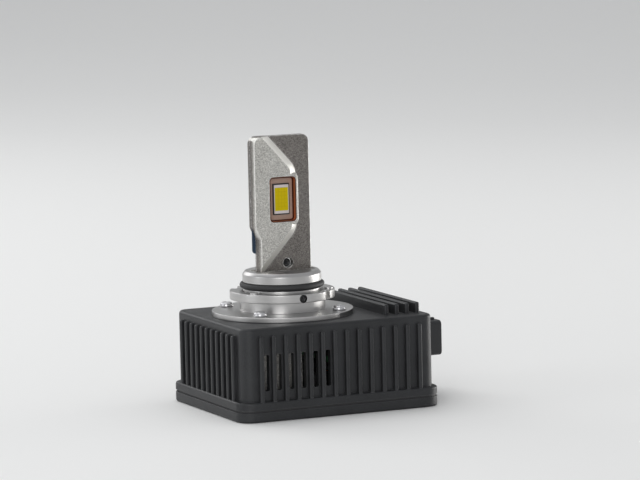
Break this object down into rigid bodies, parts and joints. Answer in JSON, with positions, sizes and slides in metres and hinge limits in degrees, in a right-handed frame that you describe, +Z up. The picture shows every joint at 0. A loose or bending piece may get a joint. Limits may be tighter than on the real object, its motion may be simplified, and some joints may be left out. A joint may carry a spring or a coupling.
{
  "type": "headlight bulb",
  "caption": "LED headlight bulb: a flat metal stem with a lit face on each side, a round locating collar, and a boxed driver base with a cooling fan and a plug socket.",
  "frame": {"origin": "where the lamp axis meets the flat underside of the base", "axes": "+Z up along the lamp axis, towards the tip of the stem; -Y out of the front LED; +X towards the plug socket"},
  "size_m": [0.075, 0.056, 0.0825],
  "materials": {
    "blasted_aluminium": "sand-blasted, clear anodised",
    "turned_aluminium": "turned, clear anodised",
    "black_anodised": "cast, black anodised, satin",
    "copper": "bare copper",
    "thermal_silicone": "filled silicone sheet, matt",
    "seal_rubber": "matt black rubber",
    "black_steel": "black oxide",
    "bright_steel": "zinc plated",
    "circuit_board": "green solder mask",
    "ferrite": "sintered ferrite",
    "chip_resin": "moulded resin",
    "connector_plastic": "moulded, glass filled",
    "red_insulation": "wire insulation",
    "black_insulation": "wire insulation",
    "led_board": "pale solder mask",
    "led_ceramic": "white ceramic",
    "phosphor": "yellow silicone phosphor",
    "can_aluminium": "drawn can",
    "tinned_brass": "tinned"
  },
  "bodies": {
    "base": {"board_screw_1": "bright_steel", "board_screw_2": "bright_steel", "capacitor_1": "can_aluminium", "capacitor_2": "can_aluminium", "collar": "turned_aluminium", "collar_o_ring": "seal_rubber", "collar_screw_1": "bright_steel", "collar_screw_2": "bright_steel", "collar_screw_3": "bright_steel", "collar_screw_4": "bright_steel", "connector_pin_1": "tinned_brass", "connector_pin_2": "tinned_brass", "connector_pin_3": "tinned_brass", "connector_screw_1": "bright_steel", "connector_screw_2": "bright_steel", "connector_seal": "seal_rubber", "connector_shell": "connector_plastic", "controller_chip": "chip_resin", "copper_core": "copper", "cover_screw_1": "bright_steel", "cover_screw_2": "bright_steel", "cover_screw_3": "bright_steel", "cover_screw_4": "bright_steel", "driver_board": "circuit_board", "driver_thermal_pad": "thermal_silicone", "fan_frame": "connector_plastic", "fan_screw_1": "bright_steel", "fan_screw_2": "bright_steel", "fan_stator": "copper", "heat_sink": "blasted_aluminium", "heat_sink_screw_1": "bright_steel", "heat_sink_screw_2": "bright_steel", "heat_sink_screw_3": "bright_steel", "housing_gasket": "seal_rubber", "inductor_core": "ferrite", "inductor_winding": "copper", "led_board_front": "led_board", "led_board_rear": "led_board", "led_frame_front": "led_ceramic", "led_frame_rear": "led_ceramic", "led_lead_minus": "black_insulation", "led_lead_plus": "red_insulation", "led_package_front": "chip_resin", "led_package_rear": "chip_resin", "lower_cover": "black_anodised", "mosfet_1": "chip_resin", "mosfet_2": "chip_resin", "phosphor_front": "phosphor", "phosphor_rear": "phosphor", "stem_clamp_screw": "black_steel", "stem_front_half": "blasted_aluminium", "stem_rear_half": "blasted_aluminium", "stem_screw_lower": "bright_steel", "stem_screw_upper": "bright_steel", "thermal_sheet": "thermal_silicone", "upper_housing": "black_anodised"},
    "ring": {"locator_ring": "turned_aluminium", "ring_grub_screw": "black_steel"},
    "fan_rotor": {"fan_impeller": "connector_plastic", "fan_shaft": "bright_steel"}
  },
  "joints": [
    {"name": "ring_turn", "type": "hinge", "parent": "base", "child": "ring", "pos_m": [0, 0, 0.0345], "axis": [0, 0, 1], "range_deg": [-15, 15]},
    {"name": "fan_spin", "type": "hinge", "parent": "base", "child": "fan_rotor", "pos_m": [0.0185, 0, 0.0071], "axis": [0, 0, 1], "continuous": true}
  ]
}
